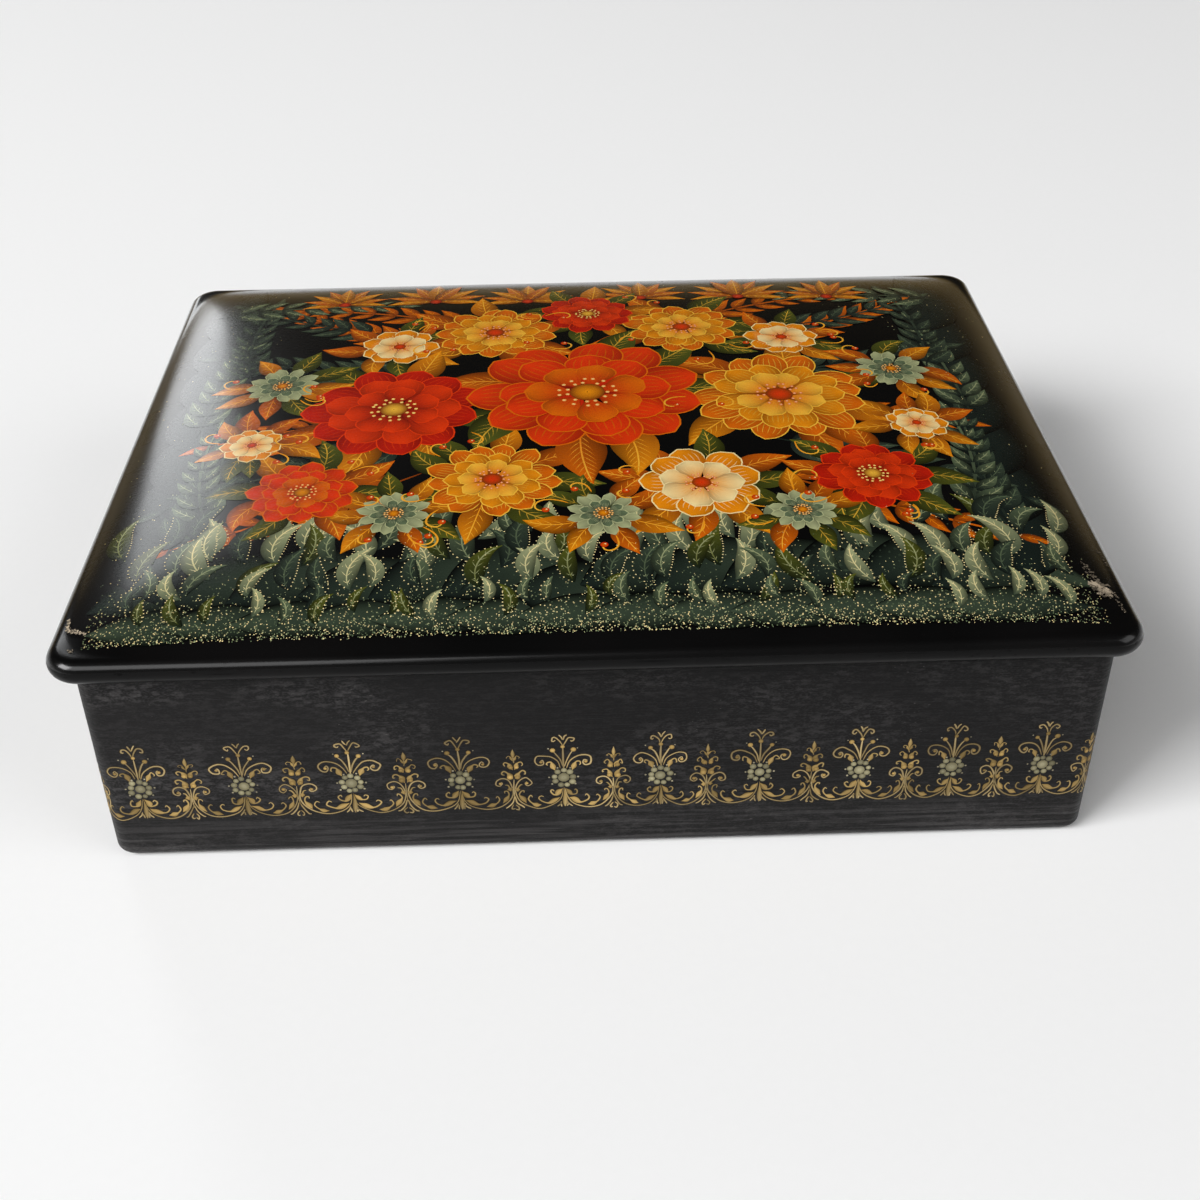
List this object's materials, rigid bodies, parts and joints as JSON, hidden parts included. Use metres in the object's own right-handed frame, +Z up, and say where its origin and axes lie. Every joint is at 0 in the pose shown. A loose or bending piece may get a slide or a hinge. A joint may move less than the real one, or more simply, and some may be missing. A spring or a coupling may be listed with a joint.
{
  "type": "lacquer box",
  "caption": "Rectangular papier-mache lacquer box with a low pillow-shaped lid on let-in brass hinges, gloss black with a painted floral lid and gold scroll frieze, red inside",
  "frame": {"origin": "middle of the underside, on the plane the box stands on", "axes": "+X along the width to the viewer's right, +Y to the hinged back, +Z up"},
  "size_m": [0.2, 0.16, 0.0582],
  "materials": {
    "black_lacquer": "pressed papier-mache under polished black lacquer, red inside",
    "red_lacquer": "pressed papier-mache under satin cinnabar red lacquer",
    "hinge_brass": "drawn brass, slightly dulled"
  },
  "bodies": {
    "box": {"wall_sleeve": "black_lacquer", "bottom_board": "black_lacquer", "collar_front": "red_lacquer", "collar_left": "red_lacquer", "collar_right": "red_lacquer", "hinge_left_body_leaf": "hinge_brass", "hinge_right_body_leaf": "hinge_brass", "hinge_left_pin": "hinge_brass", "hinge_right_pin": "hinge_brass", "body_leaf_nails": "hinge_brass"},
    "lid": {"lid_board": "black_lacquer", "hinge_left_lid_leaf": "hinge_brass", "hinge_right_lid_leaf": "hinge_brass", "lid_leaf_nails": "hinge_brass"}
  },
  "joints": [
    {"name": "lid_hinge", "type": "hinge", "parent": "box", "child": "lid", "pos_m": [0, 0.0767, 0.046], "axis": [-1, 0, 0], "range_deg": [0, 110]}
  ]
}
